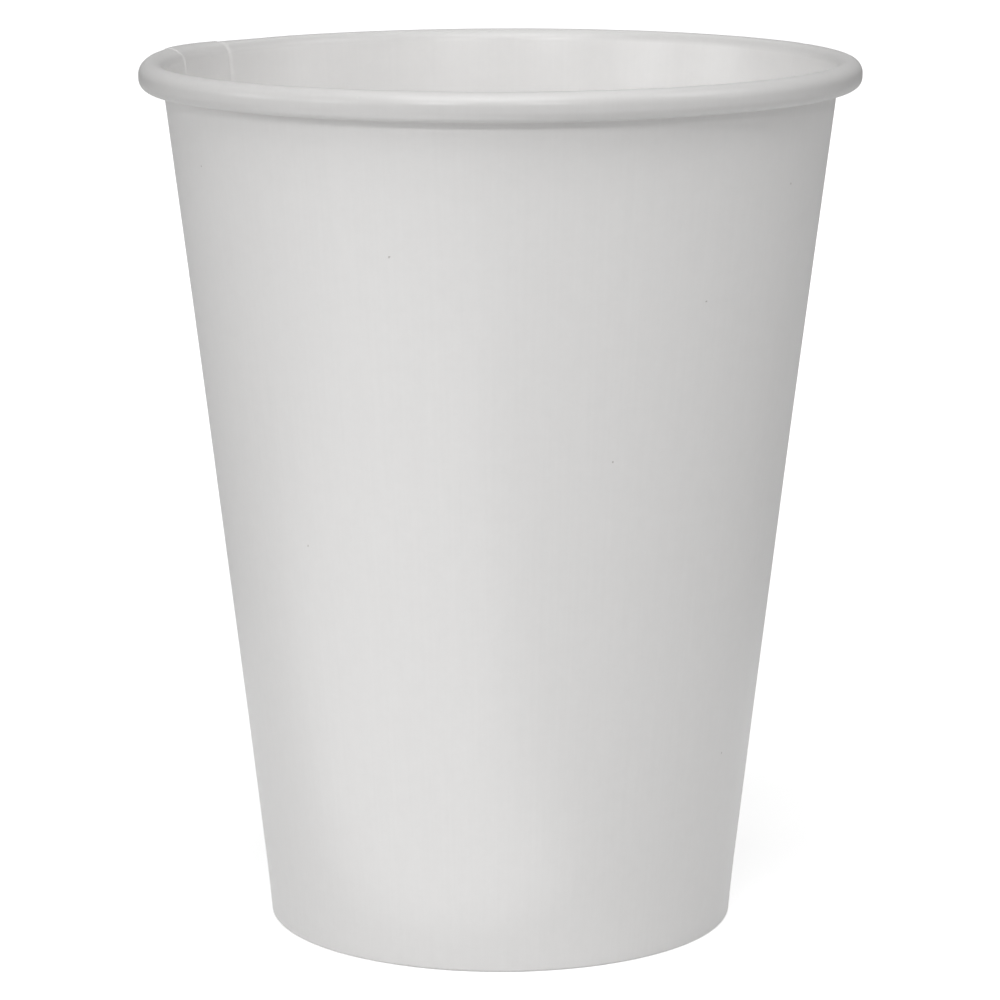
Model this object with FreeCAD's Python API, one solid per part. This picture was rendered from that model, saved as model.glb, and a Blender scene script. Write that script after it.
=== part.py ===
import FreeCAD, Part
import math
import os

# Single-wall paper cup for hot drinks. Millimetres and degrees, +Z up, origin on the floor at the middle of the foot.
#
# The cup is two pieces of board. The sidewall is one fan-shaped blank wrapped into a cone, with its two straight
# edges lapped and sealed. Its upper edge is curled outwards and down into the rim, until the cut edge stands inside
# the curl beside the wall. Its lower edge is turned inwards and up, which makes the foot and the hem. The bottom is
# a disc with a skirt pressed down all round it, and the skirt is sealed in the pocket between the wall and the hem.
#
# A face of the sidewall's sheet is named by its offset: the distance from the lined face, which holds the drink,
# towards the printed face. The single sheet runs from offset 0 to WALL_BOARD. Where the ends lap, the inner lap has
# those offsets, and the outer lap lies on it, from WALL_BOARD to twice that.

# Overall sizes
CUP_HEIGHT = 109.5
RIM_DIAMETER = 90.0
FOOT_DIAMETER = 58.5

# Boards
WALL_BOARD = 0.40
BOTTOM_BOARD = 0.30
SEAL_GAP = 0.02         # between the skirt and the sheet on each side of it

# Curled rim, with bend radii on its lined face, which is the one that shows
CURL_HEIGHT = 3.50
TOP_BEND = 1.62         # half-round top of the rim
LOWER_BEND = 1.35       # corner between the rim's outside and its underside
TUCK_LENGTH = 0.50      # flat end of the edge, past the bend that turns it up beside the wall
TUCK_GAP = 0.10         # between the tucked edge and the outer lap of the seam

# Foot and bottom
FOLD_BEND = 0.05        # bend radius inside the fold at the foot
RECESS_DEPTH = 8.50     # from the floor to the underside of the bottom
BOTTOM_BEND = 0.60      # bend radius of the underside where the bottom turns down into its skirt
HEM_CLEARANCE = 0.40    # between the hem's cut edge and that bend
SKIRT_CLEARANCE = 0.20  # between the skirt's cut edge and the folded seam below it

# Lapped seam, as angles about the cup's axis, counted from +X towards +Y
SEAM_ANGLE = 148.0      # cut edge of the inner lap
LAP_ANGLE = 16.0        # from the inner lap's cut edge to the outer lap's
JOG_ANGLE = 2.8         # stretch in which the outer lap climbs onto the inner one
JOG_STEPS = 4

# Worked out from the sizes above
RIM_RADIUS = RIM_DIAMETER / 2
FOOT_RADIUS = FOOT_DIAMETER / 2
RIM_UNDERSIDE = CUP_HEIGHT - CURL_HEIGHT
SEAM_THICKNESS = 2 * WALL_BOARD
POCKET = BOTTOM_BOARD + 2 * SEAL_GAP
HEM_END = RECESS_DEPTH - BOTTOM_BEND - HEM_CLEARANCE
SKIRT_END = SEAM_THICKNESS + SKIRT_CLEARANCE
AXIS_POINT = FreeCAD.Vector(0, 0, 0)
AXIS = FreeCAD.Vector(0, 0, 1)


def wall_lean():
    """The wall's angle from the vertical: its lined face is tangent to the rim's top, its outer face starts at the
    foot's edge."""
    run = RIM_RADIUS - TOP_BEND - FOOT_RADIUS
    rise = CUP_HEIGHT - TOP_BEND
    return math.atan2(run, rise) - math.asin((TOP_BEND - WALL_BOARD) / math.hypot(run, rise))


LEAN = wall_lean()


def across(thickness):
    """The horizontal width of something that lies against the leaning wall with this thickness."""
    return thickness / math.cos(LEAN)


def wall_radius(offset, height):
    """Radius of the wall's face at this offset, at this height."""
    return FOOT_RADIUS + height * math.tan(LEAN) + across(offset - WALL_BOARD)


def hem_radius(offset, height):
    """Radius of the turned-up sheet's face at this offset. Its lined face closes the pocket."""
    return wall_radius(0, height) - across(POCKET + offset)


def tuck_radius(offset, height):
    """Radius of the face at this offset of the edge that is tucked up inside the curl, beside the lapped wall."""
    return wall_radius(SEAM_THICKNESS, height) + across(TUCK_GAP + offset)


def rounded_path(corners):
    """Straight runs joined by tangent arcs, for corners given as (radius from the axis, height, bend radius)."""
    points = [FreeCAD.Vector(radius, 0, height) for radius, height, bend in corners]
    edges = []
    run_start = points[0]
    for before, corner, after, (_, _, bend) in zip(points, points[1:], points[2:], corners[1:]):
        back = (before - corner).normalize()
        ahead = (after - corner).normalize()
        half_angle = back.getAngle(ahead) / 2
        towards_centre = (back + ahead).normalize()
        arc_start = corner + back * (bend / math.tan(half_angle))
        arc_middle = corner + towards_centre * (bend / math.sin(half_angle) - bend)
        arc_end = corner + ahead * (bend / math.tan(half_angle))
        if not run_start.isEqual(arc_start, Part.Precision.confusion()):
            edges.append(Part.makeLine(run_start, arc_start))
        if bend > 0:
            edges.append(Part.Arc(arc_start, arc_middle, arc_end).toShape())
        run_start = arc_end
    edges.append(Part.makeLine(run_start, points[-1]))
    return edges


def sheet_face(offset, floor, fold_bend):
    """Corners of one face of the sheet, from the hem's cut edge round the foot, up the wall and round the curl.

    The bend that turns the edge up inside the curl starts where the lower corner's bend ends. Its inner face is
    sharp where the lapped sheets are thicker than its radius. Both edges of the sheet are cut square.
    """
    top = CUP_HEIGHT - offset
    outside = RIM_RADIUS - offset
    underside = RIM_UNDERSIDE + offset
    tuck_run = RIM_RADIUS - LOWER_BEND - tuck_radius(0, RIM_UNDERSIDE)
    tuck_bend = tuck_run / math.tan(math.radians(45) + LEAN / 2)
    tuck_end = RIM_UNDERSIDE + (tuck_run + TUCK_LENGTH) * math.cos(LEAN) - offset * math.sin(LEAN)
    hem_end = HEM_END + offset * math.sin(LEAN)
    return [
        (hem_radius(offset, hem_end), hem_end, 0),
        (hem_radius(offset, floor), floor, fold_bend),
        (wall_radius(offset, floor), floor, fold_bend),
        (wall_radius(offset, top), top, TOP_BEND - offset),
        (outside, top, TOP_BEND - offset),
        (outside, underside, LOWER_BEND - offset),
        (tuck_radius(offset, underside), underside, max(tuck_bend - offset, 0)),
        (tuck_radius(offset, tuck_end), tuck_end, 0),
    ]


def closed_wire(path, other_path):
    """A closed outline from two paths that start side by side and end side by side."""
    start_cap = Part.makeLine(path[0].Vertexes[0].Point, other_path[0].Vertexes[0].Point)
    end_cap = Part.makeLine(path[-1].Vertexes[-1].Point, other_path[-1].Vertexes[-1].Point)
    return Part.Wire(Part.__sortEdges__([*path, end_cap, *other_path, start_cap]))


def sheet_section(inner_offset, outer_offset, angle):
    """Section of the sheet between two offsets, in the half-plane at this angle. Its fold stands on the floor."""
    thickness = outer_offset - inner_offset
    inner_face = rounded_path(sheet_face(inner_offset, thickness, FOLD_BEND))
    outer_face = rounded_path(sheet_face(outer_offset, 0, FOLD_BEND + WALL_BOARD))
    section = closed_wire(inner_face, outer_face)
    section.rotate(AXIS_POINT, AXIS, angle)
    return section


def turned_sheet(outer_offset, start_angle, sweep_angle):
    """The sheet from the lined face to an offset, turned about the cup's axis."""
    section = Part.Face(sheet_section(0, outer_offset, start_angle))
    return section.revolve(AXIS_POINT, AXIS, sweep_angle)


def jog():
    """The outer lap climbing from the cone onto the inner lap, which leaves a groove beside the inner cut edge."""
    sections = []
    for step in range(JOG_STEPS + 1):
        share = step / JOG_STEPS
        climb = WALL_BOARD * share * share * (3 - 2 * share)
        angle = SEAM_ANGLE - JOG_ANGLE * (1 - share)
        sections.append(sheet_section(climb, climb + WALL_BOARD, angle))
    return Part.makeLoft(sections, True, True)


def sidewall():
    """The wrapped blank, with its curled rim, its hem and its lapped seam, as one solid."""
    lap = turned_sheet(SEAM_THICKNESS, SEAM_ANGLE, LAP_ANGLE)
    single = turned_sheet(WALL_BOARD, SEAM_ANGLE + LAP_ANGLE, 360 - LAP_ANGLE - JOG_ANGLE)
    return single.fuse([lap, jog()]).removeSplitter()


def skirt_radius(depth, height):
    """Radius of the skirt's face at this depth below its outer face, which is sealed to the wall."""
    return wall_radius(0, height) - across(SEAL_GAP + depth)


def bottom_face(depth, bend):
    """Corners of the bottom's face at this depth below its upper face, from the axis out and down the skirt."""
    disc_height = RECESS_DEPTH + BOTTOM_BOARD - depth
    cut_edge = SKIRT_END + depth * math.sin(LEAN)
    return [
        (0, disc_height, 0),
        (skirt_radius(depth, disc_height), disc_height, bend),
        (skirt_radius(depth, cut_edge), cut_edge, 0),
    ]


def bottom():
    """The disc and its skirt, pressed from one flat round of board."""
    upper = rounded_path(bottom_face(0, BOTTOM_BEND + BOTTOM_BOARD))
    under = rounded_path(bottom_face(BOTTOM_BOARD, BOTTOM_BEND))
    return Part.Face(closed_wire(upper, under)).revolve(AXIS_POINT, AXIS, 360)


def main():
    os.makedirs("parts", exist_ok=True)
    for node, shape in (("sidewall", sidewall()), ("bottom", bottom())):
        if not shape.isValid() or len(shape.Solids) != 1:
            raise ValueError(f"{node} is not one valid solid")
        shape.Solids[0].exportStep(f"parts/{node}.step")
        print(f"{node}: {shape.Volume:.1f} mm3")


main()
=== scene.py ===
import math

import bmesh
import bpy
from bpy.props import FloatProperty, FloatVectorProperty, IntProperty, PointerProperty
from mathutils import Matrix, Vector, noise


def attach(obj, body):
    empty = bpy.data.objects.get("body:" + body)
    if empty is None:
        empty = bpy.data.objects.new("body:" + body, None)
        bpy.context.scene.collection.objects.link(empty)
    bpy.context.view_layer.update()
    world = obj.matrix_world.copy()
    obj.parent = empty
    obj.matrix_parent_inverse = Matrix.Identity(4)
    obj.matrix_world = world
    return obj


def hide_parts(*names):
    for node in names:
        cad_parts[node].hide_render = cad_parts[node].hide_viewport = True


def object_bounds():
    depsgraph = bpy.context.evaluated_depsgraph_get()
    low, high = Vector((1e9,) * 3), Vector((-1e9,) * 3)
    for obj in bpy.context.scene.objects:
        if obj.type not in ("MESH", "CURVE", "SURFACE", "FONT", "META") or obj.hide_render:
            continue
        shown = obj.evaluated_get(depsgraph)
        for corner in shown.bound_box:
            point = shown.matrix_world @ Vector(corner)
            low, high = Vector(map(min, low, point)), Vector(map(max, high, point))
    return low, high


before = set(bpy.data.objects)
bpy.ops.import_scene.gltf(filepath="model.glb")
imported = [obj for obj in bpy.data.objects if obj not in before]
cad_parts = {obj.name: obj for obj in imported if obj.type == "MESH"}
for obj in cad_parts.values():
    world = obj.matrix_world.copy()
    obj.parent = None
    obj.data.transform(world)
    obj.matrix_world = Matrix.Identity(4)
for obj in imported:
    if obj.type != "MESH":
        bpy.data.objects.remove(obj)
CAD_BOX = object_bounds()

bl_info = {
    "name": "Paper hot-drink cup",
    "version": (1, 0, 0),
    "blender": (4, 5, 0),
    "location": "3D View > Sidebar > Paper Cup",
    "description": "Wraps a lined board blank into a cup with a curled rim, and presses its bottom",
    "category": "Mesh",
}

# Lengths in the script are metres, as everywhere in the frame, and one millimetre is
MM = 0.001

# Faces that meet at more than this angle show a sharp edge
SHARP_ANGLE = math.radians(45)

# Kinds of node that the trees use most
MATH = "ShaderNodeMath"
VECTOR_MATH = "ShaderNodeVectorMath"
VECTOR_ROTATE = "ShaderNodeVectorRotate"
MAP_RANGE = "ShaderNodeMapRange"

# The sheet is named by its two faces. The lined face holds the drink and shows on the rim, because the rim
# curls outwards. The plain face is the outside of the wall. It shows again on the hem, under the cup.


def linear_colour(hex_code):
    """The linear colour, with alpha, of an sRGB hex code."""
    channels = [int(hex_code[place:place + 2], 16) / 255 for place in (1, 3, 5)]
    linear = [c / 12.92 if c <= 0.04045 else ((c + 0.055) / 1.055) ** 2.4 for c in channels]
    return (*linear, 1.0)


def length(name, description, default):
    """A length that a user can set, in metres."""
    return FloatProperty(name=name, description=description, default=default, unit="LENGTH", precision=5)


def angle(name, description, default):
    """An angle that a user can set, given here in degrees."""
    return FloatProperty(name=name, description=description, default=math.radians(default), subtype="ANGLE")


def share(name, description, default):
    """A share of a whole that a user can set."""
    return FloatProperty(name=name, description=description, default=default, min=0.0, max=1.0,
                         subtype="FACTOR")


def colour(name, description, hex_code):
    """A colour that a user can set, given here as an sRGB hex code."""
    default = linear_colour(hex_code)
    return FloatVectorProperty(name=name, description=description, default=default, subtype="COLOR", size=4)


class CupSizes(bpy.types.PropertyGroup):
    """The sizes that both pieces of the cup share."""

    height: length("Height", "From the foot to the top of the rim", CAD_BOX[1][2])
    rim_radius: length("Rim radius", "From the axis to the outside of the rim", CAD_BOX[1][0])
    foot_radius: length("Foot radius", "From the axis to the wall's outer face at the floor", 29.25 * MM)
    wall_board: length("Wall board", "Thickness of the blank's board", 0.40 * MM)
    bottom_board: length("Bottom board", "Thickness of the bottom's board", 0.30 * MM)
    seal_gap: length("Seal gap", "Between the bottom's skirt and the sheet on each side of it", 0.02 * MM)
    curl_height: length("Curl height", "From the underside of the rim to its top", 3.5 * MM)
    top_bend: length("Top bend", "Radius of the rim's half-round top", 1.62 * MM)
    lower_bend: length("Lower bend", "Radius between the rim's outside and its underside", 1.35 * MM)
    tuck_length: length("Tuck length", "Flat end of the edge inside the curl", 0.5 * MM)
    tuck_gap: length("Tuck gap", "Between the tucked edge and the outer lap", 0.1 * MM)
    fold_bend: length("Fold bend", "Bend radius inside the fold at the foot", 0.05 * MM)
    recess_depth: length("Recess depth", "From the floor to the underside of the bottom", 8.5 * MM)
    bottom_bend: length("Bottom bend", "Bend radius where the bottom turns down into its skirt", 0.6 * MM)
    hem_clearance: length("Hem clearance", "Between the hem's cut edge and that bend", 0.4 * MM)
    skirt_clearance: length("Skirt clearance", "Between the skirt's cut edge and the folded seam", 0.2 * MM)
    foot_flare: length("Foot flare", "How far pressing the hem spreads the foot", 0.18 * MM)
    wall_waist: length("Wall waist", "How far the wall is drawn in half-way up", 0.13 * MM)
    crown: length("Bottom crown", "How far the middle of the bottom stands up", 0.35 * MM)
    pucker_depth: length("Pucker depth", "Depth of the gathers where the bottom turns down", 0.05 * MM)


class SeamSizes(bpy.types.PropertyGroup):
    """Where the blank's ends lap, and what pressing and handling left on the sheet."""

    seam_angle: angle("Seam angle", "Cut edge of the inner lap, from +X towards +Y", 148.0)
    lap_angle: angle("Lap angle", "From the inner lap's cut edge to the outer lap's", 16.0)
    jog_angle: angle("Jog angle", "Stretch in which the outer lap climbs onto the inner one", 1.6)
    wall_squeeze: share("Squeezed wall", "Share of its laps' thickness that the clamp takes", 0.20)
    rim_squeeze: share("Squeezed rim", "Share of its laps' thickness that curling takes", 0.75)
    fall_angle: angle("Fall angle", "Stretch in which the wall falls back past the outer lap's edge", 0.5)
    lap_gap: length("Lap gap", "Melted film between the two laps", 0.01 * MM)
    wall_proud: length("Seam proud of the wall", "How far the clamped seam stands inwards", 0.10 * MM)
    rim_proud: length("Seam proud of the rim", "How far the lap's edges show on the rim", 0.08 * MM)
    swell: length("Rim swell", "How far the doubled board swells the rim round the seam", 0.40 * MM)
    swell_angle: angle("Swell angle", "Where the rim swells most, from +X towards +Y", 161.0)
    swell_reach: angle("Swell reach", "How far round the swelling goes each way", 27.0)
    rim_tilt: angle("Rim tilt", "How far the rim rises towards +X", 0.2)
    wall_wave: length("Wall wave", "Unevenness of the wrapped wall", 0.05 * MM)
    rim_wave: length("Rim wave", "Unevenness of the curl", 0.05 * MM)
    crease_angle: angle("Crease angle", "Faint upright crease in the wall, from +X towards +Y", 26.3)
    crease_depth: length("Crease depth", "How far the crease is pressed outwards", 0.05 * MM)
    nick_angle: angle("Nick angle", "Small nick in the rim's shoulder, from +X towards +Y", 248.6)
    nick_drop: length("Nick drop", "From the rim's top, round its outside, to the nick", 1.55 * MM)
    nick_depth: length("Nick depth", "How deep the nick is", 0.06 * MM)
    knurls: IntProperty(name="Knurls", description="Marks that the wheel leaves round the hem", default=90)
    knurl_depth: length("Knurl depth", "How deep those marks are", 0.10 * MM)


class BoardColours(bpy.types.PropertyGroup):
    """The colours of the board."""

    plain_face: colour("Plain face", "Bleached board, smooth outside", "#EBEAE9")
    lined_face: colour("Lined face", "Bleached board under its film lining", "#F1F0EF")
    # The rim colour is painted shade, not stretched film: the lined face drawn darker in the curl for how
    # light falls there
    rim_painted_shade: colour("Rim", "The lined face where the curl stretched it", "#D6D5D4")
    cut_edge: colour("Cut edge", "Open fibres where the board was cut", "#DEDAD2")
    speck: colour("Speck", "Bits of bark and dirt in the pulp", "#7E776C")


def add_node(tree, kind, inputs=None, **settings):
    """Adds a node, sets it, and fills or links its inputs.

    A node given as an input's value stands for its first output.
    """
    node = tree.nodes.new(kind)
    for name, value in settings.items():
        setattr(node, name, value)
    for key, value in (inputs or {}).items():
        if isinstance(value, bpy.types.Node):
            value = value.outputs[0]
        if isinstance(value, bpy.types.NodeSocket):
            tree.links.new(value, node.inputs[key])
        else:
            node.inputs[key].default_value = value
    return node


def wall_lean(cup):
    """The wall's angle from the vertical."""
    run = cup.rim_radius - cup.top_bend - cup.foot_radius
    rise = cup.height - cup.top_bend
    return math.atan2(run, rise) - math.asin((cup.top_bend - cup.wall_board) / math.hypot(run, rise))


def wall_radius(cup, offset, height):
    """Radius of the wall's face at this distance outwards from its lined face, at this height."""
    lean = wall_lean(cup)
    return cup.foot_radius + height * math.tan(lean) + (offset - cup.wall_board) / math.cos(lean)


def rounded_line(corners):
    """Points along straight runs joined by arcs.

    A corner is (radius, height, bend radius, steps on the run that leads to it, steps round its bend).
    """
    places = [Vector(corner[:2]) for corner in corners]
    line = [places[0]]
    bends = zip(places, places[1:], places[2:], corners[1:])
    for before, corner, after, (_, _, bend, run_steps, bend_steps) in bends:
        back = (before - corner).normalized()
        ahead = (after - corner).normalized()
        half = back.angle(ahead) / 2
        centre = corner + (back + ahead).normalized() * (bend / math.sin(half))
        arc_start = corner + back * (bend / math.tan(half))
        run_start = line[-1]
        line += [run_start.lerp(arc_start, step / run_steps) for step in range(1, run_steps + 1)]
        turn = math.copysign(math.pi - 2 * half, back.cross(ahead))
        for step in range(1, bend_steps + 1):
            line.append(centre + Matrix.Rotation(-turn * step / bend_steps, 2) @ (arc_start - centre))
    run_start = line[-1]
    run_steps = corners[-1][3]
    return line + [run_start.lerp(places[-1], step / run_steps) for step in range(1, run_steps + 1)]


def spread(cup, height):
    """How far outwards the sheet stands at this height.

    Pressing the hem spreads the foot, and draws in the wall above it.
    """
    flare_end = 10 * MM
    flare = max(0.0, 1 - height / flare_end) ** 2
    up_the_wall = (height - flare_end) / (cup.height - cup.curl_height - flare_end)
    waist = math.sin(math.pi * min(max(up_the_wall, 0.0), 1.0))
    return cup.foot_flare * flare - cup.wall_waist * waist


def sheet_section(cup):
    """The lined face in section, from the hem's cut edge round the foot, up the wall and round the curl."""
    lean = wall_lean(cup)
    pocket = cup.bottom_board + 2 * cup.seal_gap
    hem_end = cup.recess_depth - cup.bottom_bend - cup.hem_clearance
    underside = cup.height - cup.curl_height
    floor = cup.wall_board

    def hem_radius(height):
        return wall_radius(cup, -pocket, height)

    def tuck_radius(height):
        return wall_radius(cup, 2 * cup.wall_board + cup.tuck_gap, height)

    tuck_run = cup.rim_radius - cup.lower_bend - tuck_radius(underside)
    tuck_bend = tuck_run / math.tan(math.radians(45) + lean / 2)
    tuck_end = underside + (tuck_run + cup.tuck_length) * math.cos(lean)
    above_foot = 12 * MM
    line = rounded_line([
        (hem_radius(hem_end), hem_end, 0, 0, 0),
        (hem_radius(floor), floor, cup.fold_bend, 14, 6),
        (wall_radius(cup, 0, floor), floor, cup.fold_bend, 2, 6),
        (wall_radius(cup, 0, above_foot), above_foot, 0, 8, 0),
        (wall_radius(cup, 0, cup.height), cup.height, cup.top_bend, 18, 9),
        (cup.rim_radius, cup.height, cup.top_bend, 0, 9),
        (cup.rim_radius, underside, cup.lower_bend, 1, 9),
        (tuck_radius(underside), underside, tuck_bend, 0, 8),
        (tuck_radius(tuck_end), tuck_end, 0, 1, 0),
    ])
    return [place + Vector((spread(cup, place.y), 0)) for place in line]


def column_line(seam):
    """The travel round the axis at each column.

    Columns are a degree apart, and closer at the nick and where the sheet passes a lap's edge.
    """
    whole = math.radians(1)
    fine = whole / 8
    nick = (seam.nick_angle - seam.seam_angle) % math.tau
    stretches = (
        (seam.lap_angle - whole, whole), (seam.lap_angle + whole, fine),
        (nick - whole / 2, whole), (nick + whole / 2, fine),
        (math.tau - 2 * whole, whole), (math.tau + whole, fine),
        (math.tau + seam.lap_angle, whole),
    )
    line = [Vector((0, 0))]
    for end, step in stretches:
        start = line[-1].x
        count = round((end - start) / step)
        line += [Vector((start + (end - start) * column / count, 0)) for column in range(1, count + 1)]
    return line


# Each input of the tree that wraps the blank, with its kind
BLANK_INPUTS = {
    "Column Line": "Object", "Board": "Float", "Height": "Float", "Wall Lean": "Float",
    "Skirt Top": "Float", "Rim Start": "Float", "Curl Row": "Float",
    "Seam Angle": "Float", "Lap Angle": "Float", "Jog Angle": "Float", "Fall Angle": "Float",
    "Lap Gap": "Float", "Wall Squeeze": "Float", "Rim Squeeze": "Float",
    "Wall Proud": "Float", "Rim Proud": "Float", "Wall Wave": "Float", "Rim Wave": "Float",
    "Swell": "Float", "Swell Travel": "Float", "Swell Reach": "Float", "Rim Tilt": "Float",
    "Crease Travel": "Float", "Crease Depth": "Float",
    "Nick Travel": "Float", "Nick Row": "Float", "Nick Depth": "Float",
    "Knurls": "Int", "Knurl Depth": "Float", "Mean Radius": "Float",
    "Plain Face": "Material", "Lined Face": "Material", "Cut Edge": "Material",
}


def new_geometry_tree(name, inputs):
    """An empty geometry tree with a geometry going in and out, and these further inputs."""
    tree = bpy.data.node_groups.new(name, "GeometryNodeTree")
    tree.interface.new_socket("Geometry", in_out="OUTPUT", socket_type="NodeSocketGeometry")
    tree.interface.new_socket("Geometry", in_out="INPUT", socket_type="NodeSocketGeometry")
    for input_name, kind in inputs.items():
        tree.interface.new_socket(input_name, in_out="INPUT", socket_type=f"NodeSocket{kind}")
    return tree


def stored_section(tree, sizes):
    """The section swept along the columns, with its own place, direction and length kept on its points."""
    rows = add_node(tree, "GeometryNodeStoreNamedAttribute", {
        "Geometry": sizes["Geometry"], "Name": "section_place",
        "Value": add_node(tree, "GeometryNodeInputPosition"),
    }, data_type="FLOAT_VECTOR")
    rows = add_node(tree, "GeometryNodeStoreNamedAttribute", {
        "Geometry": rows, "Name": "section_tangent", "Value": add_node(tree, "GeometryNodeInputTangent"),
    }, data_type="FLOAT_VECTOR")
    parameter = add_node(tree, "GeometryNodeSplineParameter")
    rows = add_node(tree, "GeometryNodeStoreNamedAttribute", {
        "Geometry": rows, "Name": "section_length", "Value": parameter.outputs["Length"],
    }, data_type="FLOAT")
    line = add_node(tree, "GeometryNodeObjectInfo", {"Object": sizes["Column Line"]})
    columns = add_node(tree, "GeometryNodeStoreNamedAttribute", {
        "Geometry": line.outputs["Geometry"], "Name": "travel", "Value": parameter.outputs["Length"],
    }, data_type="FLOAT")
    return add_node(tree, "GeometryNodeCurveToMesh", {"Curve": columns, "Profile Curve": rows})


class SheetPoint:
    """The fields that say where a point of the sheet is, before anything is pressed into it.

    Travel is the angle along the sheet from the inner lap's cut edge, and turn is the angle round the axis.
    Row is the way along the section from the hem's cut edge. The normal points from the lined face to the
    plain one.
    """

    def __init__(self, tree, sizes):
        kept_value = "GeometryNodeInputNamedAttribute"
        place = add_node(tree, kept_value, {"Name": "section_place"}, data_type="FLOAT_VECTOR")
        tangent = add_node(tree, kept_value, {"Name": "section_tangent"}, data_type="FLOAT_VECTOR")
        tangent_out, tangent_up, _ = add_node(tree, "ShaderNodeSeparateXYZ", {0: tangent}).outputs
        down_in_section = add_node(tree, MATH, {0: tangent_out, 1: -1.0}, operation="MULTIPLY")
        self.normal = add_node(tree, "ShaderNodeCombineXYZ", {"X": tangent_up, "Z": down_in_section})
        self.row = add_node(tree, kept_value, {"Name": "section_length"}, data_type="FLOAT")
        self.travel = add_node(tree, kept_value, {"Name": "travel"}, data_type="FLOAT")
        self.turn = add_node(tree, MATH, {0: self.travel, 1: sizes["Seam Angle"]}, operation="ADD")
        self.radius, self.height, _ = add_node(tree, "ShaderNodeSeparateXYZ", {0: place}).outputs
        self.upright = add_node(tree, "ShaderNodeCombineXYZ", {"X": self.radius, "Z": self.height})
        self.on_rim = rim_share(tree, sizes, self.radius)
        self.on_outer_lap, self.lapped = lap_shares(tree, sizes, self.travel)


def rim_share(tree, sizes, radius):
    """How far a point belongs to the curl: 0 in the wall and 1 in the rim."""
    blend = 1.4 * MM
    rim_end = add_node(tree, MATH, {0: sizes["Rim Start"], 1: blend}, operation="ADD")
    return add_node(tree, MAP_RANGE, {
        "Value": radius, "From Min": sizes["Rim Start"], "From Max": rim_end,
    }, interpolation_type="SMOOTHSTEP")


def lap_shares(tree, sizes, travel):
    """How far a point has climbed onto the outer lap, and how far it belongs to either lap."""
    jog_start = add_node(tree, MATH, {0: math.tau, 1: sizes["Jog Angle"]}, operation="SUBTRACT")
    on_outer_lap = add_node(tree, MAP_RANGE, {
        "Value": travel, "From Min": jog_start, "From Max": math.tau,
    }, interpolation_type="SMOOTHSTEP")
    fall_end = add_node(tree, MATH, {0: sizes["Lap Angle"], 1: sizes["Fall Angle"]}, operation="ADD")
    on_inner_lap = add_node(tree, MAP_RANGE, {
        "Value": travel, "From Min": sizes["Lap Angle"], "From Max": fall_end, "To Min": 1.0, "To Max": 0.0,
    }, interpolation_type="SMOOTHSTEP")
    return on_outer_lap, add_node(tree, MATH, {0: on_outer_lap, 1: on_inner_lap}, operation="ADD")


def squeezed_laps(tree, sizes, point):
    """How much thinner the sheet is here, and how far the outer lap stands off the inner one.

    The laps are squeezed by the seam's clamp, and most of all in the curl.
    """
    squeeze = add_node(tree, "ShaderNodeMix", {
        0: point.on_rim, 2: sizes["Wall Squeeze"], 3: sizes["Rim Squeeze"],
    }, data_type="FLOAT")
    squeeze = add_node(tree, MATH, {0: squeeze, 1: sizes["Board"]}, operation="MULTIPLY")
    lap_step = add_node(tree, MATH, {0: sizes["Board"], 1: sizes["Lap Gap"]}, operation="ADD")
    lap_step = add_node(tree, MATH, {0: lap_step, 1: squeeze}, operation="SUBTRACT")
    return add_node(tree, MATH, {0: squeeze, 1: point.lapped}, operation="MULTIPLY"), lap_step


def wave_field(tree, sizes, point):
    """The unevenness of the wall and of the curl. It depends on the angle, so both laps share it."""
    standing = add_node(tree, VECTOR_ROTATE, {"Vector": point.upright, "Angle": point.turn},
                        rotation_type="Z_AXIS")
    waves = []
    for wave_size, depth in ((38 * MM, sizes["Wall Wave"]), (11 * MM, sizes["Rim Wave"])):
        wave = add_node(tree, "ShaderNodeTexNoise", {
            "Vector": standing, "Scale": 1 / wave_size, "Detail": 1.0,
        })
        wave = add_node(tree, MATH, {0: wave, 1: -0.5}, operation="ADD")
        waves.append(add_node(tree, MATH, {0: wave, 1: depth}, operation="MULTIPLY"))
    wall_wave, rim_wave = waves
    return add_node(tree, "ShaderNodeMix", {0: point.on_rim, 2: wall_wave, 3: rim_wave}, data_type="FLOAT")


def swell_field(tree, sizes, point):
    """How much bigger the curl is where the doubled board went into it."""
    away = add_node(tree, MATH, {0: point.travel, 1: sizes["Swell Travel"]}, operation="SUBTRACT")
    away = add_node(tree, MATH, {0: away, 1: math.pi, 2: -math.pi}, operation="WRAP")
    away = add_node(tree, MATH, {0: away}, operation="ABSOLUTE")
    swell = add_node(tree, MAP_RANGE, {
        "Value": away, "From Max": sizes["Swell Reach"], "To Min": sizes["Swell"], "To Max": 0.0,
    }, interpolation_type="SMOOTHSTEP")
    return add_node(tree, MATH, {0: swell, 1: point.on_rim}, operation="MULTIPLY")


def crease_field(tree, sizes, point):
    """How far the upright crease is pressed outwards."""
    reach = math.radians(1.1)
    away = add_node(tree, MATH, {0: point.travel, 1: sizes["Crease Travel"]}, operation="SUBTRACT")
    away = add_node(tree, MATH, {0: away}, operation="ABSOLUTE")
    return add_node(tree, MAP_RANGE, {
        "Value": away, "From Max": reach, "To Min": sizes["Crease Depth"], "To Max": 0.0,
    }, interpolation_type="SMOOTHSTEP")


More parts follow.
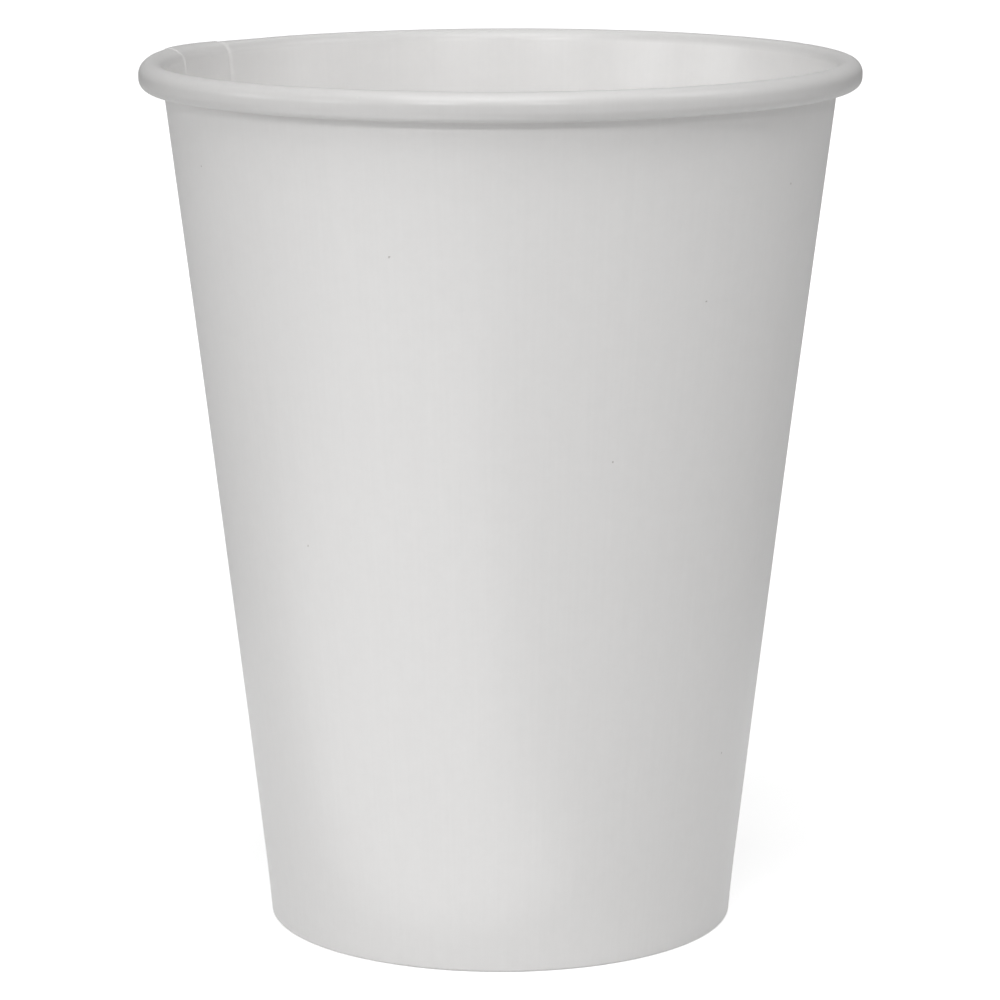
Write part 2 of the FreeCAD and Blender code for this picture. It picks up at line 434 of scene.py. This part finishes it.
def nick_field(tree, sizes, point):
    """How deep the small nick in the rim's shoulder is. It is longer along the section than across it."""
    reach_across = math.radians(0.25)
    reach_along = 0.4 * MM
    across = add_node(tree, MATH, {0: point.travel, 1: sizes["Nick Travel"]}, operation="SUBTRACT")
    across = add_node(tree, MATH, {0: across, 1: reach_across}, operation="DIVIDE")
    along = add_node(tree, MATH, {0: point.row, 1: sizes["Nick Row"]}, operation="SUBTRACT")
    along = add_node(tree, MATH, {0: along, 1: reach_along}, operation="DIVIDE")
    away = add_node(tree, "ShaderNodeCombineXYZ", {"X": across, "Y": along})
    away = add_node(tree, VECTOR_MATH, {0: away}, operation="LENGTH").outputs["Value"]
    return add_node(tree, MAP_RANGE, {
        "Value": away, "To Min": sizes["Nick Depth"], "To Max": 0.0,
    }, interpolation_type="SMOOTHSTEP")


def relief_field(tree, sizes, point):
    """How far wrapping, clamping, curling and handling moved the lined face along its normal."""
    proud = add_node(tree, "ShaderNodeMix", {
        0: point.on_rim, 2: sizes["Wall Proud"], 3: sizes["Rim Proud"],
    }, data_type="FLOAT")
    proud = add_node(tree, MATH, {0: proud, 1: point.lapped}, operation="MULTIPLY")
    relief = add_node(tree, MATH, {0: wave_field(tree, sizes, point), 1: proud}, operation="SUBTRACT")
    relief = add_node(tree, MATH, {0: relief, 1: swell_field(tree, sizes, point)}, operation="SUBTRACT")
    relief = add_node(tree, MATH, {0: relief, 1: crease_field(tree, sizes, point)}, operation="ADD")

    # The bottom's skirt keeps the wall round beside it
    skirt_blend = 15 * MM
    even_end = add_node(tree, MATH, {0: sizes["Skirt Top"], 1: skirt_blend}, operation="ADD")
    above_skirt = add_node(tree, MAP_RANGE, {
        "Value": point.height, "From Min": sizes["Skirt Top"], "From Max": even_end,
    }, interpolation_type="SMOOTHSTEP")
    relief = add_node(tree, MATH, {0: relief, 1: above_skirt}, operation="MULTIPLY")
    return add_node(tree, MATH, {0: relief, 1: nick_field(tree, sizes, point)}, operation="ADD")


def lined_place(tree, sizes, point, lap_step):
    """Where a point of the lined face ends up."""
    relief = relief_field(tree, sizes, point)
    offset = add_node(tree, MATH, {0: point.on_outer_lap, 1: lap_step, 2: relief}, operation="MULTIPLY_ADD")
    lined = add_node(tree, VECTOR_MATH, {0: point.normal, 1: offset, 2: point.upright},
                     operation="MULTIPLY_ADD")

    # In the fold the laps lie on each other, which lifts them along the wall
    whole_lift_below = 1 * MM
    no_lift_above = 6 * MM
    in_fold = add_node(tree, MAP_RANGE, {
        "Value": point.height, "From Min": whole_lift_below, "From Max": no_lift_above,
        "To Min": 1.0, "To Max": 0.0,
    }, interpolation_type="SMOOTHSTEP")
    lift = add_node(tree, MATH, {0: point.lapped, 1: lap_step}, operation="MULTIPLY")
    lift = add_node(tree, MATH, {0: lift, 1: in_fold}, operation="MULTIPLY")
    lean_out = add_node(tree, MATH, {0: sizes["Wall Lean"]}, operation="SINE")
    lean_up = add_node(tree, MATH, {0: sizes["Wall Lean"]}, operation="COSINE")
    up_the_wall = add_node(tree, "ShaderNodeCombineXYZ", {"X": lean_out, "Z": lean_up})
    lined = add_node(tree, VECTOR_MATH, {0: up_the_wall, 1: lift, 2: lined}, operation="MULTIPLY_ADD")
    lined = add_node(tree, VECTOR_ROTATE, {"Vector": lined, "Angle": point.turn}, rotation_type="Z_AXIS")

    # The rim rises to one side, and what is below it rises in proportion to its height
    along_x = add_node(tree, "ShaderNodeSeparateXYZ", {0: lined})
    rise = add_node(tree, MATH, {0: sizes["Rim Tilt"]}, operation="TANGENT")
    rise = add_node(tree, MATH, {0: rise, 1: along_x}, operation="MULTIPLY")
    height_share = add_node(tree, MATH, {0: point.height, 1: sizes["Height"]}, operation="DIVIDE")
    rise = add_node(tree, MATH, {0: rise, 1: height_share}, operation="MULTIPLY")
    rise = add_node(tree, "ShaderNodeCombineXYZ", {"Z": rise})
    return add_node(tree, VECTOR_MATH, {0: lined, 1: rise}, operation="ADD")


def knurl_field(tree, sizes, point):
    """How deep the pressing wheel marked the plain face of the hem, in a band between its edges."""
    band_start = 0.9 * MM
    band_end = 6.0 * MM
    edge_blend = 0.5 * MM
    past_start = add_node(tree, MAP_RANGE, {
        "Value": point.row, "From Min": band_start, "From Max": band_start + edge_blend,
    })
    before_end = add_node(tree, MAP_RANGE, {
        "Value": point.row, "From Min": band_end - edge_blend, "From Max": band_end,
        "To Min": 1.0, "To Max": 0.0,
    })
    band = add_node(tree, MATH, {0: past_start, 1: before_end}, operation="MULTIPLY")
    wave = add_node(tree, MATH, {0: point.travel, 1: sizes["Knurls"]}, operation="MULTIPLY")
    wave = add_node(tree, MATH, {0: wave}, operation="COSINE")
    wave = add_node(tree, MAP_RANGE, {
        "Value": wave, "From Min": -1.0, "From Max": 1.0, "To Max": sizes["Knurl Depth"],
    })
    return add_node(tree, MATH, {0: band, 1: wave}, operation="MULTIPLY")


def stored_pattern(tree, sizes, point, sheet):
    """The sheet with what its finish needs: its place laid flat, in metres, and its share in the curl, which
    the finish darkens as painted shade.
    """
    curl_blend = 1.2 * MM
    across_blank = add_node(tree, MATH, {0: point.travel, 1: sizes["Mean Radius"]}, operation="MULTIPLY")
    flat_place = add_node(tree, "ShaderNodeCombineXYZ", {"X": across_blank, "Y": point.row})
    sheet = add_node(tree, "GeometryNodeStoreNamedAttribute", {
        "Geometry": sheet, "Name": "UVMap", "Value": flat_place,
    }, data_type="FLOAT2", domain="CORNER")
    # The share in the curl, where the lined board's colour is darkened as painted shade
    curl_end = add_node(tree, MATH, {0: sizes["Curl Row"], 1: curl_blend}, operation="ADD")
    curled = add_node(tree, MAP_RANGE, {
        "Value": point.row, "From Min": sizes["Curl Row"], "From Max": curl_end,
    }, interpolation_type="SMOOTHSTEP")
    return add_node(tree, "GeometryNodeStoreNamedAttribute", {
        "Geometry": sheet, "Name": "curled", "Value": curled,
    }, data_type="FLOAT")


def wrap_tree():
    """Wraps the section once round the axis and a lap further, as one thick sheet with its relief."""
    tree = new_geometry_tree("wrapped blank", BLANK_INPUTS)
    sizes = add_node(tree, "NodeGroupInput").outputs
    sheet = stored_section(tree, sizes)
    point = SheetPoint(tree, sizes)
    squeezed, lap_step = squeezed_laps(tree, sizes, point)
    lined = lined_place(tree, sizes, point, lap_step)
    sheet = add_node(tree, "GeometryNodeSetPosition", {"Geometry": sheet, "Position": lined})

    # The plain face is pushed out of the lined one, which leaves the cut edges between the two
    knurl = knurl_field(tree, sizes, point)
    thickness = add_node(tree, MATH, {0: sizes["Board"], 1: knurl}, operation="SUBTRACT")
    thickness = add_node(tree, MATH, {0: thickness, 1: squeezed}, operation="SUBTRACT")
    through = add_node(tree, VECTOR_MATH, {0: point.normal, "Scale": thickness}, operation="SCALE")
    through = add_node(tree, VECTOR_ROTATE, {"Vector": through, "Angle": point.turn}, rotation_type="Z_AXIS")
    thick = add_node(tree, "GeometryNodeExtrudeMesh", {
        "Mesh": sheet, "Offset Scale": 0.0, "Individual": False,
    })
    thick_sheet = add_node(tree, "GeometryNodeSetPosition", {
        "Geometry": thick.outputs["Mesh"], "Selection": thick.outputs["Top"], "Offset": through,
    })
    lined_face = add_node(tree, "GeometryNodeFlipFaces", {"Mesh": sheet})
    closed = add_node(tree, "GeometryNodeJoinGeometry", {"Geometry": thick_sheet})
    tree.links.new(lined_face.outputs[0], closed.inputs[0])
    closed = add_node(tree, "GeometryNodeMergeByDistance", {"Geometry": closed, "Distance": 0.001 * MM})
    closed = stored_pattern(tree, sizes, point, closed)
    closed = add_node(tree, "GeometryNodeSetShadeSmooth", {"Geometry": closed, "Shade Smooth": True})
    real = add_node(tree, "GeometryNodeRealizeInstances", {"Geometry": closed})
    finished = add_node(tree, "GeometryNodeSetMaterial", {"Geometry": real, "Material": sizes["Lined Face"]})
    finished = add_node(tree, "GeometryNodeSetMaterial", {
        "Geometry": finished, "Selection": thick.outputs["Top"], "Material": sizes["Plain Face"],
    })
    finished = add_node(tree, "GeometryNodeSetMaterial", {
        "Geometry": finished, "Selection": thick.outputs["Side"], "Material": sizes["Cut Edge"],
    })
    add_node(tree, "NodeGroupOutput", {"Geometry": finished})
    return tree


def line_object(name, line):
    """A curve object through these points."""
    curve = bpy.data.curves.new(name, "CURVE")
    curve.dimensions = "3D"
    spline = curve.splines.new("POLY")
    spline.points.add(len(line) - 1)
    for point, place in zip(spline.points, line):
        point.co = (place.x, place.y, 0, 1)
    piece = bpy.data.objects.new(name, curve)
    bpy.context.scene.collection.objects.link(piece)
    return piece


def mesh_from_tree(section, tree, values, name):
    """Runs the tree on the section and returns its result as a plain mesh object. The section is removed."""
    modifier = section.modifiers.new("tree", "NODES")
    modifier.node_group = tree
    for item in tree.interface.items_tree:
        if item.in_out == "INPUT" and item.name in values:
            modifier[item.identifier] = values[item.name]
    evaluated = section.evaluated_get(bpy.context.evaluated_depsgraph_get())
    mesh = bpy.data.meshes.new_from_object(evaluated)
    section.modifiers.remove(modifier)
    bpy.data.objects.remove(section)
    mesh.name = name
    piece = bpy.data.objects.new(name, mesh)
    bpy.context.scene.collection.objects.link(piece)
    return piece


# Nearly all values of a noise texture lie between these
NOISE_LOW = 0.25
NOISE_HIGH = 0.75


def machine_streaks(tree, flat):
    """Streaks that the board's machine left. The board runs up the cup, so they do."""
    streak_width = 0.5 * MM
    streak_length = 22 * MM
    streak_scale = (1 / streak_width, 1 / streak_length, 1)
    streak_place = add_node(tree, "ShaderNodeMapping", {0: flat, "Scale": streak_scale})
    return add_node(tree, "ShaderNodeTexNoise", {0: streak_place, "Scale": 1.0, "Detail": 3.0},
                    noise_dimensions="2D")


def pulp_clouds(tree, flat):
    """Clouds of thicker and thinner pulp."""
    cloud_size = 2.5 * MM
    return add_node(tree, "ShaderNodeTexNoise", {
        0: flat, "Scale": 1 / cloud_size, "Detail": 5.0, "Roughness": 0.8,
    }, noise_dimensions="2D")


def speck_share(tree, flat, specks):
    """How much of a speck shows here. Specks is the share of a grid's cells that have one.

    A speck is about 0.2 mm across and ragged.
    """
    speck_grid = 13 * MM
    speck_size = 0.32 * MM
    rag_size = 0.2 * MM
    speck_cover = 0.8
    ragged = add_node(tree, "ShaderNodeTexNoise", {0: flat, "Scale": 1 / rag_size}, noise_dimensions="2D")
    cells = add_node(tree, "ShaderNodeTexVoronoi", {0: flat, "Scale": 1 / speck_grid},
                     voronoi_dimensions="2D")
    reach = add_node(tree, MATH, {0: ragged, 1: speck_size / speck_grid}, operation="MULTIPLY")
    near = add_node(tree, MAP_RANGE, {
        "Value": cells.outputs["Distance"], "From Min": 0.0, "From Max": reach, "To Min": 1.0, "To Max": 0.0,
    })
    chosen = add_node(tree, "ShaderNodeSeparateColor", {0: cells.outputs["Color"]})
    chosen = add_node(tree, MATH, {0: chosen, 1: specks}, operation="LESS_THAN")
    speck = add_node(tree, MATH, {0: near, 1: chosen}, operation="MULTIPLY")
    return add_node(tree, MATH, {0: speck, 1: speck_cover}, operation="MULTIPLY")


def fibre_relief(tree, flat, streaks, fibre_bump):
    """Fibres and streaks in relief, which break up the sheen.

    Real fibres are about 0.03 mm wide, which is too fine to show, so they are drawn coarser.
    """
    fibre_width = 0.15 * MM
    fibre_length = 0.4 * MM
    fibre_height = 0.02 * MM
    streak_weight = 1.5
    fibre_scale = (1 / fibre_width, 1 / fibre_length, 1)
    fibre_place = add_node(tree, "ShaderNodeMapping", {0: flat, "Scale": fibre_scale})
    fibres = add_node(tree, "ShaderNodeTexNoise", {0: fibre_place, "Scale": 1.0, "Detail": 2.0},
                      noise_dimensions="2D")
    relief = add_node(tree, MATH, {0: streaks, 1: streak_weight, 2: fibres}, operation="MULTIPLY_ADD")
    return add_node(tree, "ShaderNodeBump", {
        "Strength": fibre_bump, "Distance": fibre_height, "Height": relief,
    })


def board_material(name, colour_value, curl_shade_colour, roughness, streak, mottle, fibre_bump, specks):
    """Board with its streaks, cloudy formation, fibre relief and a few dark specks, and painted shade in the
    curl.

    Streak and mottle are the share by which they darken and lighten the colour.
    """
    if name in bpy.data.materials:
        return bpy.data.materials[name]
    material = bpy.data.materials.new(name)
    material.use_nodes = True
    tree = material.node_tree
    tree.nodes.clear()
    flat = add_node(tree, "ShaderNodeUVMap", uv_map="UVMap")
    streaks = machine_streaks(tree, flat)
    streak_value = add_node(tree, MAP_RANGE, {
        "Value": streaks, "From Min": NOISE_LOW, "From Max": NOISE_HIGH,
        "To Min": 1 - streak, "To Max": 1 + streak,
    })
    cloud_value = add_node(tree, MAP_RANGE, {
        "Value": pulp_clouds(tree, flat), "From Min": NOISE_LOW, "From Max": NOISE_HIGH,
        "To Min": 1 - mottle, "To Max": 1 + mottle,
    })
    shade = add_node(tree, MATH, {0: streak_value, 1: cloud_value}, operation="MULTIPLY")
    # The curl's darker colour is painted shade, mixed in by the curl share
    curled = add_node(tree, "ShaderNodeAttribute", attribute_name="curled").outputs["Fac"]
    even_colour = add_node(tree, "ShaderNodeMix", {0: curled, 6: colour_value, 7: curl_shade_colour},
                           data_type="RGBA")
    board_colour = add_node(tree, VECTOR_MATH, {0: even_colour.outputs[2], "Scale": shade},
                            operation="SCALE")
    face_colour = add_node(tree, "ShaderNodeMix", {
        0: speck_share(tree, flat, specks), 6: board_colour, 7: bpy.context.scene.board_colours.speck,
    }, data_type="RGBA")
    shader = add_node(tree, "ShaderNodeBsdfPrincipled", {
        "Base Color": face_colour.outputs[2], "Roughness": roughness, "IOR": 1.5,
        "Normal": fibre_relief(tree, flat, streaks, fibre_bump),
    })
    add_node(tree, "ShaderNodeOutputMaterial", {0: shader})
    return material


def plain_board():
    """Uncoated bleached board, calendered: matt, with faint streaks and a few specks."""
    colours = bpy.context.scene.board_colours
    return board_material("uncoated bleached board", colours.plain_face, colours.plain_face,
                          roughness=0.36, streak=0.006, mottle=0.012, fibre_bump=0.3, specks=0.16)


def lined_board():
    """The same board under its extruded film: the fibres show less, and the film gives a soft sheen. Its
    curl takes the rim colour, which is painted shade.
    """
    colours = bpy.context.scene.board_colours
    return board_material("film-lined board", colours.lined_face, colours.rim_painted_shade,
                          roughness=0.30, streak=0.006, mottle=0.012, fibre_bump=0.2, specks=0.08)


def cut_board():
    """The board's cut edge: open fibres, slightly darker and quite dull."""
    colours = bpy.context.scene.board_colours
    return board_material("cut board edge", colours.cut_edge, colours.cut_edge,
                          roughness=0.85, streak=0.03, mottle=0.03, fibre_bump=0.6, specks=0.0)


def dress(piece, node):
    """Lets a piece stand for its CAD node, which it hides, and ride on the cup's body."""
    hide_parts(node)
    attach(piece, "root")


class WrapSidewall(bpy.types.Operator):
    """Wrap the blank into the wall, with its curl, seam and hem"""

    bl_idname = "paper_cup.wrap_sidewall"
    bl_label = "Wrap sidewall"

    def execute(self, context):
        cup = context.scene.cup_sizes
        seam = context.scene.seam_sizes
        line = sheet_section(cup)
        top = max(range(len(line)), key=lambda row: line[row].y)
        way_to_top = sum((after - before).length for before, after in zip(line[:top], line[1:]))
        columns = line_object("column line", column_line(seam))
        # The curl starts a little way outside the lapped wall
        past_the_laps = 2.5 * cup.wall_board
        # The waves go in doubled, because noise less a half reaches a half each way
        values = {
            "Column Line": columns, "Board": cup.wall_board, "Height": cup.height,
            "Wall Lean": wall_lean(cup), "Skirt Top": cup.recess_depth + cup.bottom_board,
            "Rim Start": wall_radius(cup, 0, cup.height - cup.top_bend) + past_the_laps,
            "Curl Row": way_to_top - cup.top_bend * math.pi / 2,
            "Seam Angle": seam.seam_angle, "Lap Angle": seam.lap_angle, "Jog Angle": seam.jog_angle,
            "Fall Angle": seam.fall_angle, "Lap Gap": seam.lap_gap,
            "Wall Squeeze": seam.wall_squeeze, "Rim Squeeze": seam.rim_squeeze,
            "Wall Proud": seam.wall_proud, "Rim Proud": seam.rim_proud,
            "Wall Wave": 2 * seam.wall_wave, "Rim Wave": 2 * seam.rim_wave,
            "Swell": seam.swell, "Swell Travel": seam.swell_angle - seam.seam_angle,
            "Swell Reach": seam.swell_reach, "Rim Tilt": seam.rim_tilt,
            "Crease Travel": (seam.crease_angle - seam.seam_angle) % math.tau,
            "Crease Depth": seam.crease_depth,
            "Nick Travel": (seam.nick_angle - seam.seam_angle) % math.tau,
            "Nick Row": way_to_top + seam.nick_drop, "Nick Depth": seam.nick_depth,
            "Knurls": seam.knurls, "Knurl Depth": seam.knurl_depth,
            "Mean Radius": (cup.rim_radius + cup.foot_radius) / 2,
            "Plain Face": plain_board(), "Lined Face": lined_board(), "Cut Edge": cut_board(),
        }
        piece = mesh_from_tree(line_object("sheet section", line), wrap_tree(), values, "cup_wall")
        bpy.data.objects.remove(columns)
        piece.data.set_sharp_from_angle(angle=SHARP_ANGLE)
        dress(piece, "sidewall")
        return {"FINISHED"}


def bottom_faces(cup):
    """The bottom's upper face and its underside in section, each from the axis out and down the skirt."""
    lean = wall_lean(cup)
    disc_top = cup.recess_depth + cup.bottom_board
    skirt_end = 2 * cup.wall_board + cup.skirt_clearance
    faces = []
    for depth, bend in ((0, cup.bottom_bend + cup.bottom_board), (cup.bottom_board, cup.bottom_bend)):
        disc = disc_top - depth
        cut = skirt_end + depth * math.sin(lean)
        inset = -(cup.seal_gap + depth)
        line = rounded_line([
            (0, disc, 0, 0, 0),
            (wall_radius(cup, inset, disc), disc, bend, 30, 8),
            (wall_radius(cup, inset, cut), cut, 0, 8, 0),
        ])
        edge = max(place.x for place in line)
        faces.append([place + Vector((spread(cup, place.y) * place.x / edge, 0)) for place in line])
    return faces


def bottom_points(cup, columns):
    """The bottom's points, ring by ring over the upper face and back below, and their places laid flat."""
    bend_radius = wall_radius(cup, 0, cup.recess_depth) - cup.bottom_bend
    gather_start = bend_radius - 4 * MM
    gather_end = bend_radius + 2 * MM
    gather_blend = 3 * MM
    gathers = 64
    mean_depth = 0.6
    noise_scale = 6
    spacing_shift = 5
    points = []
    flat_places = []
    for face, order in zip(bottom_faces(cup), (1, -1)):
        ways = [0.0]
        for before, after in zip(face, face[1:]):
            ways.append(ways[-1] + (after - before).length)
        for place, way in list(zip(face, ways))[::order]:
            dome = cup.crown * max(0.0, 1 - (place.x / bend_radius) ** 2) ** 2
            gather = max(0.0, min(way - gather_start, gather_end - way)) / gather_blend
            for column in range(columns):
                turn = math.tau * column / columns
                out = Vector((math.cos(turn), math.sin(turn), 0))
                # Noise makes the gathers uneven in depth and spacing
                uneven = noise.noise(out * noise_scale)
                wave = math.cos(gathers * turn + spacing_shift * uneven)
                pucker = cup.pucker_depth * gather * (mean_depth + uneven) * wave
                points.append(out * place.x + Vector((0, 0, place.y + dome + pucker)))
                flat_places.append((out * way).xy)
    return points, flat_places


def ring_quads(rows, columns):
    """The quads between each ring of points and the next."""
    quads = []
    for row in range(rows - 1):
        for column in range(columns):
            following = (column + 1) % columns
            quads.append((row * columns + column, (row + 1) * columns + column,
                          (row + 1) * columns + following, row * columns + following))
    return quads


class PressBottom(bpy.types.Operator):
    """Press the round of board that makes the bottom and its skirt"""

    bl_idname = "paper_cup.press_bottom"
    bl_label = "Press bottom"

    def execute(self, context):
        columns = 360
        points, flat_places = bottom_points(context.scene.cup_sizes, columns)
        rows = len(points) // columns
        mesh = bpy.data.meshes.new("cup_bottom")
        mesh.from_pydata(points, [], ring_quads(rows, columns))
        flat = mesh.uv_layers.new(name="UVMap")
        for loop in mesh.loops:
            flat.data[loop.index].uv = flat_places[loop.vertex_index]
        for material in (lined_board(), cut_board(), plain_board()):
            mesh.materials.append(material)
        cut_row = rows // 2 - 1
        for polygon in mesh.polygons:
            row = polygon.index // columns
            polygon.material_index = 0 if row < cut_row else 1 if row == cut_row else 2
        shell = bmesh.new()
        shell.from_mesh(mesh)
        bmesh.ops.remove_doubles(shell, verts=shell.verts, dist=0.001 * MM)
        bmesh.ops.recalc_face_normals(shell, faces=shell.faces)
        shell.to_mesh(mesh)
        shell.free()
        mesh.shade_smooth()
        mesh.set_sharp_from_angle(angle=SHARP_ANGLE)
        piece = bpy.data.objects.new("cup_bottom", mesh)
        context.scene.collection.objects.link(piece)
        dress(piece, "bottom")
        return {"FINISHED"}


# The photographer's place, found by fitting a pinhole camera to the outline of the rim, wall and foot
CAMERA_PLACE = Vector((-0.00005, -0.5368, 0.15831))
CAMERA_PITCH = math.radians(90 - 11.062)
CAMERA_LENS = 154.97

# Every lamp stands this far from the cup
LAMP_DISTANCE = 1.4


class SetStage(bpy.types.Operator):
    """Lay the pale floor and set the lamps and the camera"""

    bl_idname = "paper_cup.set_stage"
    bl_label = "Set stage"

    def execute(self, context):
        scene = context.scene
        scene.view_settings.view_transform = "Standard"
        floor_mesh = bpy.data.meshes.new("floor")
        half = 8.0
        floor_mesh.from_pydata([(-half, -half, 0), (half, -half, 0), (half, half, 0), (-half, half, 0)], [],
                               [(0, 1, 2, 3)])
        floor = bpy.data.objects.new("floor", floor_mesh)
        scene.collection.objects.link(floor)
        floor_mesh.materials.append(floor_paint())
        set_world(scene)
        mid_cup = Vector((0, 0, 0.06))
        add_lamp("window", mid_cup, azimuth=-85, elevation=14, size=0.4, level=0.086)
        add_lamp("window end", mid_cup, azimuth=-55, elevation=15, size=0.3, level=0.087)
        add_lamp("key lamp", mid_cup, azimuth=-20, elevation=25, size=0.15, level=0.136)
        add_lamp("small lamp", mid_cup, azimuth=14, elevation=24, size=0.12, level=0.09)
        add_lamp("front box", mid_cup, azimuth=-10, elevation=57, size=1.0, level=0.43)
        add_lamp("overhead box", mid_cup, azimuth=0, elevation=84, size=1.2, level=0.33)
        add_lamp("back box", mid_cup, azimuth=180, elevation=50, size=0.8, level=0.06)
        add_lamp("right box", mid_cup, azimuth=80, elevation=45, size=0.6, level=0.125)
        add_lamp("right fill", mid_cup, azimuth=75, elevation=14, size=0.4, level=0.048)
        add_card(Vector((0.022, -0.045, 0.002)), azimuth=-16, size=0.2, brightness=1.2)
        camera_data = bpy.data.cameras.new("camera")
        camera_data.lens = CAMERA_LENS
        camera = bpy.data.objects.new("camera", camera_data)
        camera.location = CAMERA_PLACE
        camera.rotation_euler = (CAMERA_PITCH, 0, 0)
        scene.collection.objects.link(camera)
        scene.camera = camera
        return {"FINISHED"}


def share_of_white(tree, mirrored):
    """How much of the backdrop's white a ray sees.

    That is all of it straight or through glass, and the given share of it mirrored.
    """
    rays = add_node(tree, "ShaderNodeLightPath").outputs
    straight = add_node(tree, MATH, {0: rays["Is Camera Ray"], 1: rays["Is Transmission Ray"]},
                        operation="MAXIMUM")
    return add_node(tree, MATH, {0: rays["Is Glossy Ray"], 1: mirrored, 2: straight},
                    operation="MULTIPLY_ADD")


def floor_paint():
    """Matt white floor. The camera sees it lifted to the backdrop's white, with the shadow kept.

    The wall's sheen mirrors it bright near the foot and dim further off, as a lit table in a dark room.
    """
    material = bpy.data.materials.new("matt white floor")
    material.use_nodes = True
    tree = material.node_tree
    tree.nodes.clear()
    place = add_node(tree, "ShaderNodeTexCoord").outputs["Object"]
    away = add_node(tree, VECTOR_MATH, {0: place}, operation="LENGTH").outputs["Value"]
    mirrored = add_node(tree, MAP_RANGE, {
        "Value": away, "From Min": 0.08, "From Max": 0.20, "To Min": 0.8, "To Max": 0.1,
    }, interpolation_type="SMOOTHSTEP")
    seen = share_of_white(tree, mirrored)
    # The lamps light the floor near the cup, so it needs less lift there
    backdrop = add_node(tree, MAP_RANGE, {
        "Value": away, "From Min": 0.10, "From Max": 0.60, "To Min": 0.62, "To Max": 1.0,
    }, interpolation_type="SMOOTHSTEP")
    lift = add_node(tree, MATH, {0: seen, 1: backdrop}, operation="MULTIPLY")
    paint = add_node(tree, "ShaderNodeBsdfDiffuse", {"Color": linear_colour("#DEDEDE")})
    glow = add_node(tree, "ShaderNodeEmission", {"Strength": lift})
    both = add_node(tree, "ShaderNodeAddShader", {0: paint, 1: glow})
    add_node(tree, "ShaderNodeOutputMaterial", {0: both})
    return material


def set_world(scene):
    """A dim even room for the cup, which the camera sees as a white backdrop."""
    world = bpy.data.worlds.new("white room")
    scene.world = world
    world.use_nodes = True
    tree = world.node_tree
    tree.nodes.clear()
    room = add_node(tree, "ShaderNodeBackground", {"Strength": share_of_white(tree, mirrored=0.4)})
    add_node(tree, "ShaderNodeOutputWorld", {0: room})


def add_lamp(name, target, azimuth, elevation, size, level):
    """A square area lamp that faces the target. Azimuth is from the camera's side towards +X, in degrees.

    At a level of 1 the lamp alone lights a surface that faces it so that its colour renders as written.
    """
    turn = math.radians(azimuth)
    rise = math.radians(elevation)
    towards = Vector((math.sin(turn) * math.cos(rise), -math.cos(turn) * math.cos(rise), math.sin(rise)))
    data = bpy.data.lights.new(name, "AREA")
    data.size = size
    data.energy = level * (math.pi * LAMP_DISTANCE) ** 2
    lamp = bpy.data.objects.new(name, data)
    lamp.location = target + towards * LAMP_DISTANCE
    lamp.rotation_euler = towards.to_track_quat("Z", "Y").to_euler()
    bpy.context.scene.collection.objects.link(lamp)


def add_card(corner, azimuth, size, brightness):
    """A square white card on the floor, which shows only as a soft sheen on the wall.

    Its right edge runs away from the corner in the direction of the azimuth, counted as in add_lamp.
    Brightness 1 is white.
    """
    data = bpy.data.lights.new("white card", "AREA")
    data.size = size
    data.energy = brightness * math.pi * size ** 2
    card = bpy.data.objects.new("white card", data)
    turn = Matrix.Rotation(math.radians(azimuth), 3, "Z")
    card.location = corner + turn @ Vector((-size / 2, -size / 2, 0))
    card.rotation_euler = (math.pi, 0, math.radians(azimuth))
    card.visible_diffuse = False
    card.visible_camera = False
    bpy.context.scene.collection.objects.link(card)


class PaperCupPanel(bpy.types.Panel):
    """The cup's sizes and colours, and the steps that make it"""

    bl_idname = "VIEW3D_PT_paper_cup"
    bl_label = "Paper Cup"
    bl_space_type = "VIEW_3D"
    bl_region_type = "UI"
    bl_category = "Paper Cup"

    def draw(self, context):
        for group in (context.scene.cup_sizes, context.scene.seam_sizes, context.scene.board_colours):
            box = self.layout.box()
            for name in group.__annotations__:
                box.prop(group, name)
        for operator in OPERATORS:
            self.layout.operator(operator.bl_idname)


OPERATORS = (SetStage, WrapSidewall, PressBottom)
CLASSES = (CupSizes, SeamSizes, BoardColours, *OPERATORS, PaperCupPanel)


def register():
    for each in CLASSES:
        bpy.utils.register_class(each)
    bpy.types.Scene.cup_sizes = PointerProperty(type=CupSizes)
    bpy.types.Scene.seam_sizes = PointerProperty(type=SeamSizes)
    bpy.types.Scene.board_colours = PointerProperty(type=BoardColours)


def unregister():
    del bpy.types.Scene.board_colours
    del bpy.types.Scene.seam_sizes
    del bpy.types.Scene.cup_sizes
    for each in reversed(CLASSES):
        bpy.utils.unregister_class(each)


def main():
    register()
    bpy.ops.paper_cup.set_stage()
    bpy.ops.paper_cup.wrap_sidewall()
    bpy.ops.paper_cup.press_bottom()


if __name__ == "__main__":
    main()
